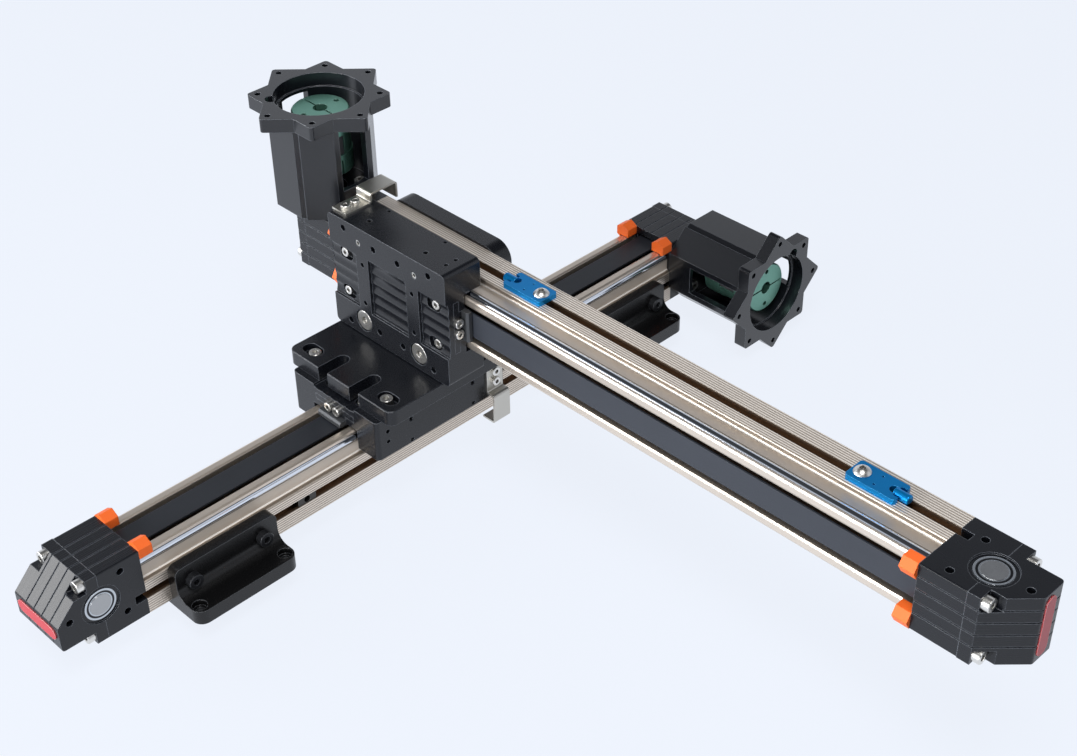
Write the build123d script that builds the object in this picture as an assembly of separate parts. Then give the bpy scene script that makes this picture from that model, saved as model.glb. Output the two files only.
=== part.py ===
# Two crossed belt-driven linear modules: the upper one rides on the carriage of the lower one.
from build123d import *
import math
import os

os.makedirs("parts", exist_ok=True)

# beam: x is across it, y along it towards the drive end, z up from its underside
beam_length = 392.0
beam_half = 19.3
shoulder_height = 20.9
neck_half = 15.8
lip_half = 16.4
lip_height = 35.4
crown_height = 36.0
channel_half = 10.85
channel_floor = 7.6
guide_radius = 2.5
guide_offset = 15.0
guide_height = 31.8
slot_mouth = 5.0
slot_inner = 9.0
slot_lip = 1.8
slot_side_height = 12.25
slot_side_back = 12.7
slot_bottom_depth = 6.0

# belt and pulleys
belt_width = 15.0
belt_body = 1.2
belt_pitch = 3.0
pulley_teeth = 25
pitch_radius = belt_pitch * pulley_teeth / (2 * math.pi)
belt_back_radius = pitch_radius + 0.8
belt_inner_radius = belt_back_radius - belt_body
tip_radius = belt_inner_radius - 0.3
axis_height = lip_height - 0.1 - belt_back_radius
tooth_radius = 0.85
flange_radius = 13.6
pulley_half = 8.9
flange_thickness = 1.0

# end blocks, measured outward from the end of the beam
axis_reach = 25.0
block_length = 50.0
block_seam = 24.5
block_height = 41.5
flat_reach = 31.0
slope_end_height = 22.5
step_height = 7.5
cavity_radius = 14.5
cavity_half = 9.2
bearing_outer = 9.0
bearing_inner = 6.05
bearing_width = 4.0
shaft_radius = 6.0
shaft_bore = 6.6
shaft_recess = 0.3
rim_radius = 11.0
rim_depth = 1.0
block_screw_offset = 15.2
block_screw_high = 37.6
block_screw_low = 3.9
groove_pitch = 7.1
groove_shift = -1.5
groove_width = 0.8
groove_depth = 0.7
badge_length = 34.0
badge_height = 7.5
badge_thickness = 0.6
badge_level = 17.2

# screws
m4 = 2.0
m4_head = 3.5
m4_head_length = 4.0
m3 = 1.5
m3_head = 2.75
m3_head_length = 3.0
side_hole_offset = 13.3
side_hole_far = 18.0
side_hole_depth = 8.0

# motor mount and coupling, along x from the side of the drive block
mount_floor = 6.0
mount_flat = 26.5
mount_chamfer = 27.6
mount_bore = 24.0
flange_face = 83.0
flange_plate = 8.0
star_square = 41.0
star_diamond = 39.5
star_corner = 2.0
star_opening = 25.0
motor_pcd = 70.0
motor_pcd_diagonal = 66.67
motor_hole = 1.75
lobe_radius = 3.75
lobe_reach = 25.6
lobe_angle = 58.0
window_half = 9.0
window_start = 36.0
window_end = 73.0
coupling_radius = 16.0
coupling_face = 74.5
coupling_length = 36.0
hub_length = 12.0
coupling_bore = 4.0
drive_shaft_end = 53.0
jaw_count = 3

# carriage, along y from its centre
carriage_length = 93.5
carriage_half = 35.2
carriage_underside = 25.0
carriage_top = 50.0
arm_inner = 18.4
web_underside = 37.0
roller_pitch = 22.6
roller_offset = 25.2
roller_thickness = 6.4
roller_flange = 8.3
roller_gap = 0.3
roller_bore = 3.05
stud_radius = 3.0
stud_head = 6.15
stud_head_length = 2.2
roller_room = 8.8
pin_shoulder = 42.0
pin_radius = 2.0
lock_high = 40.7
lock_low = 26.7
lock_low_radius = 1.25
tool_hole_x = 30.0
tool_hole_y = 34.1
inner_hole_x = 26.7
inner_hole_y = 9.7
land_hole_x = 12.4
land_hole_y = 20.0
tool_hole_bottom = 39.0
land_hole_bottom = 41.0
pocket_half = 17.7
end_pocket_half = 17.0
flute_pitch = 6.4
flute_radius = 8.0
flute_depth = 0.6
carriage_corner = 2.5
land_inner = 15.2
land_outer = 25.1
pocket_depth = 1.5
clamp_half = 9.3
clamp_flange_half = 16.0
clamp_reach = 15.0
clamp_bottom = lip_height + 0.2
clamp_flange_level = 41.0
clamp_screw_seat = 44.6
clamp_screw_y = 36.8
clamp_slot_y = 35.4
clamp_screw_x = 12.4
clamp_end_screw = 3.4
clamp_end_level = 42.4
clamp_screw_bottom = 38.0
clamp_end_length = 9.0
clamp_end_head = 2.4
clamp_slot_length = 11.0
clamp_slot_width = 7.4
clamp_slot_depth = 3.2
tooth_plate = 4.5
tooth_plate_top = 39.2
tooth_plate_bevel = 1.0

# sensor flag
flag_thickness = 1.2
flag_width = 11.8
flag_centre_lower = 38.15
flag_centre_upper = 40.85
flag_bend = 0.9
flag_top = 46.4
flag_step = 28.0
flag_stand = 6.8
flag_bottom = 10.0
flag_return = 10.0
flag_screws = (35.0, 41.8)
flag_screw_length = 6.0
flag_screw_head = 2.0

# bumpers
bumper_flats = 9.4
bumper_length = 8.0
bumper_offset = 14.6
bumper_level = 38.9
bumper_clear = 36.3

# cross bracket
foot_lift = 4.0
lower_carriage_centre = -8.75
carriage_park = 1.5
arm_setback = 54.0
plate_half = 43.0
plate_front = -51.5
plate_thickness = 9.0
upright_thickness = 10.4
upright_rise = 1.9
upright_shift = -7.6
upright_corner = 10.0
upright_seat = 4.4
arm_gap = 0.8
upper_back = 35.4
plate_slot_x = 13.0
plate_slot_half = 4.0
plate_slot_end = -33.4
plate_screw_x = 30.0
plate_front_y = -42.85
plate_rear_y = 25.35
upright_screw_x = 28.0

# feet and slot hardware
foot_length = 64.0
foot_centre = 150.5
foot_base = 8.5
foot_reach = 43.0
foot_web = 26.0
foot_top = 26.5
foot_ledge = 6.6
foot_bolt_pitch = 22.3
foot_hole_x = 37.2
foot_hole_pitch = 27.2
foot_hole = 2.25
foot_hole_head = 4.0
m5_head = 4.25
nut_length = 12.0
loose_nut_y = -93.0
sensor_length = 27.4
sensor_width = 13.3
sensor_height = 3.0
sensor_near = 126.8
sensor_far = 43.5
sensor_screw = 1.6
sensor_screw_x = 8.5
sensor_screw_length = 6.5
sensor_screw_head = 4.4
sensor_screw_rise = 2.6
sensor_hole = 2.4
sensor_hole_x = 9.2
sensor_pin = 0.6
sensor_pin_x = 0.5
sensor_pin_y = 3.6
sensor_nose = 2.5
sensor_nose_reach = 4.2
sensor_notch_half = 3.6
sensor_notch_depth = 3.0
sensor_nut = 9.0

carriage_end = carriage_length / 2
half_length = beam_length / 2
upper_carriage_centre = half_length - bumper_length - carriage_park - carriage_end
upper_middle = half_length - arm_setback
upper_level = foot_lift + carriage_top + plate_thickness + arm_gap + carriage_half
lower = Location((0, 0, foot_lift))
upper = Plane(
    origin=(upper_middle, upper_back, upper_level), x_dir=(0, 0, 1), z_dir=(0, -1, 0)
).location


def block(x0, x1, y0, y1, z0, z1):
    return Pos((x0 + x1) / 2, (y0 + y1) / 2, (z0 + z1) / 2) * Box(x1 - x0, y1 - y0, z1 - z0)


def along_x(radius, x0, x1, y, z):
    return Pos((x0 + x1) / 2, y, z) * Rot(0, 90, 0) * Cylinder(radius, x1 - x0)


def along_y(radius, y0, y1, x, z):
    return Pos(x, (y0 + y1) / 2, z) * Rot(90, 0, 0) * Cylinder(radius, y1 - y0)


def along_z(radius, z0, z1, x, y):
    return Pos(x, y, (z0 + z1) / 2) * Cylinder(radius, z1 - z0)


def outline(points):
    return make_face(Polyline(*points, close=True))


def section_y(face, y0, y1):
    return Pos(0, y1, 0) * extrude(Plane.XZ * face, y1 - y0)


def section_x(face, x0, x1):
    return Pos(x0, 0, 0) * extrude(Plane.YZ * face, x1 - x0)


def both_ends(make):
    drive = Pos(0, half_length, 0) * make
    idler = Rot(0, 0, 180) * Pos(0, half_length, 0) * make
    return drive, idler


def solids_of(*shapes):
    found = []
    for shape in shapes:
        found += list(shape.solids())
    return Compound(children=found) if len(found) > 1 else found[0]


def socket_screw(radius, length, head_radius, head_length, key=0.0):
    # head stands on z = 0 and reaches up, shank hangs below
    screw = along_z(head_radius, 0, head_length, 0, 0) + along_z(radius, -length, 0, 0, 0)
    key = key or head_radius * 0.75
    hexagon = extrude(RegularPolygon(key / math.sqrt(3) * 1.15, 6), head_length * 0.55)
    screw -= Pos(0, 0, head_length * 0.45) * hexagon
    return chamfer(screw.edges().filter_by(GeomType.CIRCLE).group_by(Axis.Z)[-1], 0.25)


def button_screw(radius, length, head_radius, head_height):
    # domed head on z = 0, cut from a ball, shank below
    ball = (head_radius ** 2 + head_height ** 2) / (2 * head_height)
    dome = Pos(0, 0, head_height - ball) * Sphere(ball)
    dome &= along_z(head_radius + 1, 0, head_height, 0, 0)
    screw = dome + along_z(radius, -length, 0, 0, 0)
    return screw - Pos(0, 0, head_height - 1.4) * extrude(RegularPolygon(head_radius * 0.38, 6), 3)


def set_screw(radius, length):
    # end face on z = 0, body below
    body = along_z(radius, -length, 0, 0, 0)
    return body - Pos(0, 0, -1.2) * extrude(RegularPolygon(radius * 0.62, 6), 1.2)


# one module

def beam():
    half = [
        (0, 0), (beam_half, 0), (beam_half, shoulder_height), (neck_half, shoulder_height),
        (neck_half, guide_height), (lip_half, guide_height), (lip_half, lip_height),
        (lip_half - 1.2, crown_height), (channel_half + 1.2, crown_height),
        (channel_half, lip_height), (channel_half, channel_floor), (0, channel_floor),
    ]
    face = outline(half)
    corners = face.vertices().filter_by(
        lambda v: abs(v.X - beam_half) < 0.01 and v.Y > 1
    )
    face = fillet(corners, 1.0)
    root = face.vertices().filter_by(
        lambda v: abs(v.X - neck_half) < 0.01 and abs(v.Y - shoulder_height) < 0.01
    )
    face = fillet(root, 1.2)
    face -= Pos(guide_offset, guide_height) * Circle(guide_radius)
    middle = (beam_half - slot_lip + slot_side_back) / 2
    face -= Pos(middle, slot_side_height) * Rectangle(
        beam_half - slot_lip - slot_side_back, slot_inner
    )
    face -= Pos(beam_half, slot_side_height) * Rectangle(2 * slot_lip + 1, slot_mouth)
    face -= Pos(0, (slot_lip + slot_bottom_depth) / 2) * Rectangle(
        slot_inner, slot_bottom_depth - slot_lip
    )
    face -= Rectangle(slot_mouth, 2 * slot_lip + 1)
    face -= Pos(block_screw_offset, block_screw_low) * Circle(m4)
    face += mirror(face, about=Plane.YZ)
    return section_y(face, -half_length, half_length)


def guide_rods():
    return [
        along_y(guide_radius, -half_length, half_length, side * guide_offset, guide_height)
        for side in (-1, 1)
    ]


def belt():
    reach = 2 * (half_length + axis_reach)
    outer = SlotCenterToCenter(reach, 2 * belt_back_radius)
    inner = SlotCenterToCenter(reach, 2 * belt_inner_radius)
    loop = section_x(outer - inner, -belt_width / 2, belt_width / 2)
    return Pos(0, 0, axis_height) * loop


def block_face(inset=0.0):
    end = block_length - inset
    top = block_height - inset
    start = flat_reach - inset * (math.sqrt(2) - 1)
    drop = flat_reach + block_height - inset * math.sqrt(2) - end
    face = outline([
        (block_seam, 0), (flat_reach, 0), (flat_reach, step_height), (end, step_height),
        (end, drop), (start, top), (block_seam, top),
    ])
    nose = face.vertices().filter_by(lambda v: abs(v.X - end) < 0.01)
    return fillet(nose, 2.0) if inset == 0 else face


def block_cavity():
    room = along_x(cavity_radius, -cavity_half, cavity_half, axis_reach, axis_height)
    room += block(-cavity_half, cavity_half, -1, axis_reach,
                  axis_height - cavity_radius, axis_height + cavity_radius)
    room += along_x(shaft_bore, -beam_half - 1, beam_half + 1, axis_reach, axis_height)
    seat = beam_half - rim_depth - bearing_width + 0.5
    for side in (-1, 1):
        for radius, start in ((bearing_outer, seat), (rim_radius, beam_half - rim_depth)):
            ends = sorted((side * start, side * (beam_half + 1)))
            room += along_x(radius, ends[0], ends[1], axis_reach, axis_height)
    return room


def side_holes():
    places = [
        (axis_reach - side_hole_offset, axis_height - side_hole_offset),
        (axis_reach - side_hole_offset, axis_height + side_hole_offset),
        (axis_reach + side_hole_far, axis_height),
    ]
    holes = []
    for side in (-1, 1):
        ends = sorted((side * (beam_half - side_hole_depth), side * (beam_half + 1)))
        holes += [along_x(m4, ends[0], ends[1], y, z) for y, z in places]
    return holes


def housing():
    body = block(-beam_half, beam_half, 0, block_seam, 0, block_height)
    body = fillet(body.edges().filter_by(Axis.Y).group_by(Axis.Z)[-1], 0.8)
    body -= block_cavity()
    for hole in side_holes():
        body -= hole
    for side in (-1, 1):
        body -= along_y(m4, 15, block_seam + 1, side * block_screw_offset, block_screw_high)
        body -= along_y(m4, -1, block_seam + 1, side * block_screw_offset, block_screw_low)
        ends = sorted((side * slot_side_back, side * (beam_half + 1)))
        body -= block(ends[0], ends[1], -1, 6.5,
                      slot_side_height - slot_mouth / 2, slot_side_height + slot_mouth / 2)
        body -= along_y(1.6, -1, 4, side * bumper_offset, bumper_level)
    for step in (-1.5, -0.5, 0.5, 1.5):
        x = step * groove_pitch + groove_shift
        body -= block(x - groove_width / 2, x + groove_width / 2, -1, block_seam + 1,
                      block_height - groove_depth, block_height + 1)
    return body


def cap():
    body = section_x(block_face(), -beam_half, beam_half)
    body -= block_cavity()
    for hole in side_holes():
        body -= hole
    pocket_half = m4_head + 0.35
    for side in (-1, 1):
        x = side * block_screw_offset
        ends = sorted((side * (block_screw_offset - pocket_half), side * (beam_half + 1)))
        low = block_screw_high - m4_head - 0.3
        body -= block(ends[0], ends[1], flat_reach, block_length, low, block_height + 1)
        body -= along_y(m4, block_seam - 1, flat_reach + 1, x, block_screw_high)
        body -= along_y(m4, block_seam - 1, flat_reach + 1, x, block_screw_low)
    shell = block_face() - block_face(groove_depth)
    for step in (-1.5, -0.5, 0.5, 1.5):
        x = step * groove_pitch + groove_shift
        body -= section_x(shell, x - groove_width / 2, x + groove_width / 2)
    return body


def badge():
    plate = extrude(SlotOverall(badge_length, badge_height), badge_thickness)
    plate = Pos(0, block_length, badge_level) * Rot(-90, 0, 0) * plate
    return Rot(0, 0, 180) * Pos(0, half_length, 0) * plate


def shaft_bearings():
    rings = []
    start = beam_half - rim_depth - bearing_width + 0.5
    for side in (-1, 1):
        ends = sorted((side * start, side * (start + bearing_width)))
        ring = along_x(bearing_outer, ends[0], ends[1], axis_reach, axis_height)
        ring -= along_x(bearing_inner, ends[0] - 1, ends[1] + 1, axis_reach, axis_height)
        rings += list(both_ends(ring))
    return rings


def pulley_body(x_end, slim_end=0.0):
    shaft_half = beam_half - shaft_recess
    body = along_x(shaft_radius, -shaft_half, max(shaft_half, x_end), axis_reach, axis_height)
    if slim_end:
        body += along_x(coupling_bore, x_end, slim_end, axis_reach, axis_height)
    wheel = Circle(tip_radius)
    for tooth in range(pulley_teeth):
        wheel -= Rot(0, 0, 360 * tooth / pulley_teeth) * Pos(tip_radius, 0) * Circle(tooth_radius)
    rim = pulley_half - flange_thickness
    teeth = Pos(0, axis_reach, axis_height) * section_x(wheel, -rim, rim)
    body += teeth
    for side in (-1, 1):
        ends = sorted((side * rim, side * pulley_half))
        body += along_x(flange_radius, ends[0], ends[1], axis_reach, axis_height)
    return body


def idler_pulley():
    return Rot(0, 0, 180) * Pos(0, half_length, 0) * pulley_body(0)


def drive_pulley():
    return Pos(0, half_length, 0) * pulley_body(beam_half + mount_floor + 2, drive_shaft_end)


def at_drive(shape):
    return Pos(0, half_length + axis_reach, axis_height) * shape


def sector(radius, angle, span):
    far = 2 * radius
    corners = [(0, 0)]
    for turn in (-0.5, 0.5):
        direction = math.radians(angle + turn * span)
        corners.append((far * math.cos(direction), far * math.sin(direction)))
    return outline(corners) & Circle(radius)


def coupling_hubs():
    gap = coupling_length - 2 * hub_length
    start = coupling_face - coupling_length
    hubs = []
    for index, x in enumerate((start, coupling_face - hub_length)):
        face = Circle(coupling_radius) - Circle(coupling_bore)
        hub = section_x(face, x, x + hub_length)
        if index == 0:
            hub = chamfer(hub.faces().sort_by(Axis.X)[0].outer_wire().edges(), 0.8)
        else:
            hub = chamfer(hub.faces().sort_by(Axis.X)[-1].outer_wire().edges(), 0.8)
        hub -= block(x - 1 if index == 0 else x + 3, x + 9 if index == 0 else x + hub_length + 1,
                     -coupling_radius - 1, coupling_radius + 1, -0.5, 0.5)
        for side in (-1, 1):
            ends = (x - 1, x + 5) if index == 0 else (x + 7, x + hub_length + 1)
            hub -= along_x(1.5, ends[0], ends[1], 0, side * 11.5)
        jaws = None
        for jaw in range(jaw_count):
            angle = 90 + 120 * jaw + 60 * index
            piece = sector(coupling_radius - 0.5, angle, 40) - Circle(6.5)
            jaws = piece if jaws is None else jaws + piece
        x0 = x + hub_length if index == 0 else x - gap
        hub += section_x(jaws, x0 + (0.5 if index else 0), x0 + gap - (0 if index else 0.5))
        hubs.append(at_drive(hub))
    return hubs


def coupling_spider():
    start = coupling_face - coupling_length + hub_length
    gap = coupling_length - 2 * hub_length
    face = Circle(6.5) - Circle(4.4)
    for leg in range(2 * jaw_count):
        angle = 60 * leg + 60
        face += (sector(coupling_radius - 1.2, angle, 20) - Circle(6.0))
    return at_drive(section_x(face, start, start + gap))


def motor_mount():
    square = Rectangle(2 * mount_flat, 2 * mount_flat)
    diamond = Rot(0, 0, 45) * Rectangle(2 * mount_chamfer, 2 * mount_chamfer)
    face = square & diamond
    for side in (-1, 1):
        face -= outline([
            (-14, side * (mount_flat + 1)), (-9, side * (mount_flat + 1)),
            (-9, side * mount_flat), (-11.5, side * (mount_flat - 1.9)), (-14, side * mount_flat),
        ])
    flange_back = flange_face - flange_plate
    body = section_x(face, beam_half, flange_back)
    body -= along_x(mount_bore, beam_half + mount_floor, flange_back + 1, 0, 0)
    body -= along_x(rim_radius, beam_half - 1, beam_half + mount_floor + 1, 0, 0)
    for side in (-1, 1):
        ends = sorted((side * (mount_bore - 8), side * (mount_flat + 2)))
        body -= block(window_start, window_end, ends[0], ends[1], -window_half, window_half)
    for y, z in ((-side_hole_offset, -side_hole_offset), (-side_hole_offset, side_hole_offset),
                 (side_hole_far, 0)):
        body -= along_x(m4, beam_half - 1, beam_half + mount_floor + 1, y, z)
    star = Rot(0, 0, 45) * Rectangle(star_square * math.sqrt(2), star_square * math.sqrt(2))
    star = fillet(star.vertices(), star_corner)
    other = Rectangle(star_diamond * math.sqrt(2), star_diamond * math.sqrt(2))
    star += fillet(other.vertices(), star_corner)
    star -= Circle(star_opening)
    for turn in range(4):
        star -= Rot(0, 0, 90 * turn) * Pos(motor_pcd / 2, 0) * Circle(motor_hole)
        star -= Rot(0, 0, 45 + 90 * turn) * Pos(motor_pcd_diagonal / 2, 0) * Circle(motor_hole)
    star -= Rot(0, 0, lobe_angle) * Pos(lobe_reach, 0) * Circle(lobe_radius)
    body += section_x(star, flange_back, flange_face)
    return at_drive(body)


def bumpers():
    pieces = []
    for side in (-1, 1):
        x = side * bumper_offset
        hexagon = Rot(0, 0, 30) * RegularPolygon(bumper_flats / 2, 6, major_radius=False)
        pad = Pos(x, 0, bumper_level) * section_y(hexagon, -bumper_length, 0)
        ends = sorted((side * (channel_half - 2), side * (lip_half + 0.35)))
        pad -= block(ends[0], ends[1], -bumper_length - 1, 1, 30, bumper_clear)
        pad += along_y(1.6, 0, 4, x, bumper_level)
        pieces += list(both_ends(pad))
    return pieces


def housing_screws():
    pieces = []
    for side in (-1, 1):
        for level, reach in ((block_screw_high, 16.0), (block_screw_low, 45.0)):
            screw = Rot(-90, 0, 0) * socket_screw(m4, reach, m4_head, m4_head_length)
            pieces += list(both_ends(Pos(side * block_screw_offset, flat_reach, level) * screw))
    for y, z in ((-side_hole_offset, -side_hole_offset), (-side_hole_offset, side_hole_offset),
                 (side_hole_far, 0)):
        screw = Rot(0, 90, 0) * socket_screw(m4, mount_floor + 7, m4_head, m4_head_length)
        pieces.append(at_drive(Pos(beam_half + mount_floor, y, z) * screw))
    return pieces


# what rides on it, from the carriage centre

def carriage(flag_centre):
    end = carriage_end
    body = block(-carriage_half, carriage_half, -end, end, carriage_underside, carriage_top)
    body = fillet(body.edges().filter_by(Axis.Z), carriage_corner)
    body -= block(-arm_inner, arm_inner, -end - 1, end + 1, carriage_underside - 1, web_underside)
    floor = carriage_top - pocket_depth
    body -= block(-pocket_half, pocket_half, -land_inner, land_inner, floor, carriage_top + 1)
    for side in (-1, 1):
        ends = sorted((side * land_outer, side * (end + 1)))
        body -= block(-end_pocket_half, end_pocket_half, ends[0], ends[1], floor, carriage_top + 1)
    below_floor = block(-pocket_half, pocket_half, -end - 2, end + 2, floor - flute_depth - 1, floor)
    for flute in range(-2, 3):
        x = flute * flute_pitch
        for y0, y1 in ((-end - 1, -land_outer), (-land_inner, land_inner), (land_outer, end + 1)):
            body -= along_y(flute_radius, y0, y1, x, floor - flute_depth + flute_radius) & below_floor
    room_low = guide_height - roller_thickness / 2 - roller_gap
    room_high = guide_height + roller_thickness / 2 + roller_gap
    for sx in (-1, 1):
        for sy in (-1, 1):
            x, y = sx * roller_offset, sy * roller_pitch
            body -= along_z(roller_room, room_low, room_high, x, y)
            ends = sorted((sx * (arm_inner - 1), x))
            body -= block(ends[0], ends[1], y - roller_room, y + roller_room, room_low, room_high)
            if sx < 0:
                body -= along_z(stud_radius, carriage_underside - 1, carriage_top + 1, x, y)
                body -= along_z(stud_head + 0.5, carriage_top - 2.5, carriage_top + 1, x, y)
            else:
                body -= along_z(stud_radius, carriage_underside - 1, pin_shoulder, x, y)
                body -= along_z(pin_radius, pin_shoulder - 1, carriage_top + 1, x, y)
                for level, radius in ((lock_high, m3), (lock_low, lock_low_radius)):
                    body -= along_x(radius, roller_offset, carriage_half + 1, y, level)
            for radius, bottom, hole_x, hole_y in (
                (m4, tool_hole_bottom, tool_hole_x, tool_hole_y),
                (m4, tool_hole_bottom, inner_hole_x, inner_hole_y),
                (m3, land_hole_bottom, land_hole_x, land_hole_y),
            ):
                body -= along_z(radius, bottom, carriage_top + 1, sx * hole_x, sy * hole_y)
            slot = Rot(0, 0, 90) * SlotOverall(clamp_slot_length, clamp_slot_width)
            body -= Pos(sx * clamp_screw_x, sy * clamp_slot_y, floor - clamp_slot_depth) * extrude(slot, 6)
            body -= along_z(m3 + 0.1, clamp_screw_seat - 1, carriage_top,
                            sx * clamp_screw_x, sy * clamp_screw_y)
            body -= along_z(m3, clamp_screw_bottom, clamp_flange_level + 1,
                            sx * clamp_screw_x, sy * clamp_screw_y)
    for side in (-1, 1):
        ends = sorted((side * (end - clamp_reach), side * (end + 1)))
        body -= block(-clamp_half - 0.1, clamp_half + 0.1, ends[0], ends[1], 36, clamp_flange_level)
        body -= block(-clamp_flange_half, clamp_flange_half, ends[0], ends[1],
                      clamp_flange_level, clamp_screw_seat)
    for level in (41.3, 34.5):
        body -= along_x(1.25, carriage_half - 6, carriage_half + 1, -39, level)
    for level in flag_screws:
        body -= along_x(m3, carriage_half - 7, carriage_half + 1, flag_centre, level)
    return body


def belt_clamps():
    pieces = []
    for side in (-1, 1):
        inner, outer = carriage_end - clamp_reach, carriage_end
        part = block(-clamp_half, clamp_half, inner, outer, clamp_bottom, clamp_flange_level)
        part += block(-clamp_flange_half, clamp_flange_half, inner, outer,
                      clamp_flange_level, clamp_screw_seat)
        for sx in (-1, 1):
            part -= along_z(m3, clamp_screw_bottom, clamp_screw_seat + 1,
                            sx * clamp_screw_x, clamp_screw_y)
            part -= along_y(m3, inner + 4, outer + 1, sx * clamp_end_screw, clamp_end_level)
        pieces.append(part if side > 0 else Rot(0, 0, 180) * part)
    return pieces


def tooth_plates():
    pieces = []
    for side in (-1, 1):
        start = carriage_end
        part = block(-clamp_half, clamp_half, start, start + tooth_plate,
                     clamp_bottom, tooth_plate_top)
        far_edge = part.faces().sort_by(Axis.Y)[-1].edges().sort_by(Axis.Z)[-1]
        part = chamfer(far_edge, tooth_plate_bevel)
        for tooth in (0.25, 1.25):
            part -= along_x(tooth_radius, -clamp_half - 1, clamp_half + 1,
                            start + tooth * belt_pitch, clamp_bottom)
        pieces.append(part if side > 0 else Rot(0, 0, 180) * part)
    return pieces


def carriage_screws(flag_centre):
    pieces = []
    for sx in (-1, 1):
        for sy in (-1, 1):
            seat = carriage_top - pocket_depth - clamp_slot_depth
            top = socket_screw(m3, seat - clamp_screw_bottom, m3_head, m3_head_length)
            pieces.append(Pos(sx * clamp_screw_x, sy * clamp_screw_y, seat) * top)
    for sx in (-1, 1):
        screw = Rot(-90, 0, 0) * socket_screw(m3, clamp_end_length, m3_head, clamp_end_head)
        screw = Pos(sx * clamp_end_screw, carriage_end, clamp_end_level) * screw
        pieces += [screw, Rot(0, 0, 180) * screw]
    for sy in (-1, 1):
        for level, radius in ((lock_high, m3), (lock_low, lock_low_radius)):
            grub = Rot(0, 90, 0) * set_screw(radius, carriage_half - 0.4 - roller_offset - stud_radius)
            pieces.append(Pos(carriage_half - 0.4, sy * roller_pitch, level) * grub)
    for level in flag_screws:
        screw = Rot(0, 90, 0) * socket_screw(m3, flag_screw_length, m3_head, flag_screw_head)
        pieces.append(Pos(carriage_half + flag_thickness, flag_centre, level) * screw)
    return pieces


def sensor_flag(flag_centre):
    t, w = flag_thickness, carriage_half
    step = w + flag_stand
    face = outline([
        (w, flag_top), (w + t, flag_top), (w + t, flag_step + t), (step, flag_step + t),
        (step, flag_bottom), (step - flag_return, flag_bottom),
        (step - flag_return, flag_bottom + t), (step - t, flag_bottom + t),
        (step - t, flag_step), (w, flag_step),
    ])
    outer = face.vertices().filter_by(
        lambda v: abs(v.X - step) < 0.01 or abs(v.X - w) + abs(v.Y - flag_step) < 0.01)
    face = fillet(outer, flag_bend + t)
    inner = face.vertices().filter_by(
        lambda v: (abs(v.X - step + t) < 0.01 and v.Y < flag_step + 0.01)
        or abs(v.X - w - t) + abs(v.Y - flag_step - t) < 0.01)
    face = fillet(inner, flag_bend)
    strip = section_y(face, flag_centre - flag_width / 2, flag_centre + flag_width / 2)
    for level in flag_screws:
        strip -= along_x(m3, w - 1, w + 3, flag_centre, level)
    return strip


def studs():
    pieces = []
    for sy in (-1, 1):
        y = sy * roller_pitch
        long_stud = along_z(stud_radius, carriage_underside + 0.2, carriage_top - 2.5, -roller_offset, y)
        head = along_z(stud_head, carriage_top - 2.5, carriage_top - 2.5 + stud_head_length,
                       -roller_offset, y)
        head = chamfer(head.edges().filter_by(GeomType.CIRCLE).group_by(Axis.Z)[-1], 0.4)
        head -= Pos(-roller_offset, y, carriage_top - 1.9) * extrude(RegularPolygon(2.5, 6), 4)
        pieces.append(long_stud + head)
        pin = along_z(stud_radius, carriage_underside + 0.2, pin_shoulder, roller_offset, y)
        pin += along_z(pin_radius, pin_shoulder - 1, carriage_top - 0.4, roller_offset, y)
        pin -= Pos(roller_offset, y, carriage_top - 1.6) * extrude(RegularPolygon(1.2, 6), 4)
        pieces.append(pin)
    return pieces


def roller(sx, sy):
    reach = roller_offset - guide_offset
    half = roller_thickness / 2
    throat = guide_radius + roller_gap
    ring = along_z(roller_flange, -half, half, 0, 0)
    ring -= along_z(roller_bore, -half - 1, half + 1, 0, 0)
    ring -= Torus(reach, throat)
    ring = chamfer(ring.edges().filter_by(GeomType.CIRCLE).filter_by(
        lambda e: abs(e.radius - roller_flange) < 0.01), 0.3)
    return Pos(sx * roller_offset, sy * roller_pitch, guide_height) * ring


# bracket between the modules, feet and slot hardware, in the frame of the whole

plate_low = foot_lift + carriage_top
plate_top = plate_low + plate_thickness
upright_back = upper_back + upright_thickness
upright_top = upper_level + beam_half + upright_rise


def cross_plate():
    plate = block(-plate_half, plate_half, plate_front, upright_back, plate_low, plate_top)
    front = plate.edges().filter_by(Axis.Z).group_by(Axis.Y)[0]
    plate = fillet(front, 5.0)
    plate = chamfer(plate.faces().sort_by(Axis.Z)[-1].edges().filter_by(
        lambda e: e.center().Y < 0), 0.4)
    for side in (-1, 1):
        x = side * plate_slot_x
        plate -= block(x - plate_slot_half, x + plate_slot_half, plate_front - 1,
                       plate_slot_end - plate_slot_half, plate_low - 1, plate_top + 1)
        plate -= along_z(plate_slot_half, plate_low - 1, plate_top + 1, x,
                         plate_slot_end - plate_slot_half)
        for y in (plate_front_y, plate_rear_y):
            x = side * plate_screw_x
            plate -= along_z(m4, plate_low - 1, plate_top + 1, x, y)
            room = Pos(side * (plate_screw_x + 1.6), y) * SlotOverall(13.5, 8.6)
            plate -= Pos(0, 0, plate_top - 4.5) * extrude(room, 6)
        x = side * upright_screw_x
        y = upper_back + upright_thickness / 2
        plate -= along_z(m4, plate_low - 1, plate_top + 1, x, y)
        plate -= along_z(m4_head + 0.3, plate_low - 1, plate_low + 4.6, x, y)
    return plate


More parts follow.
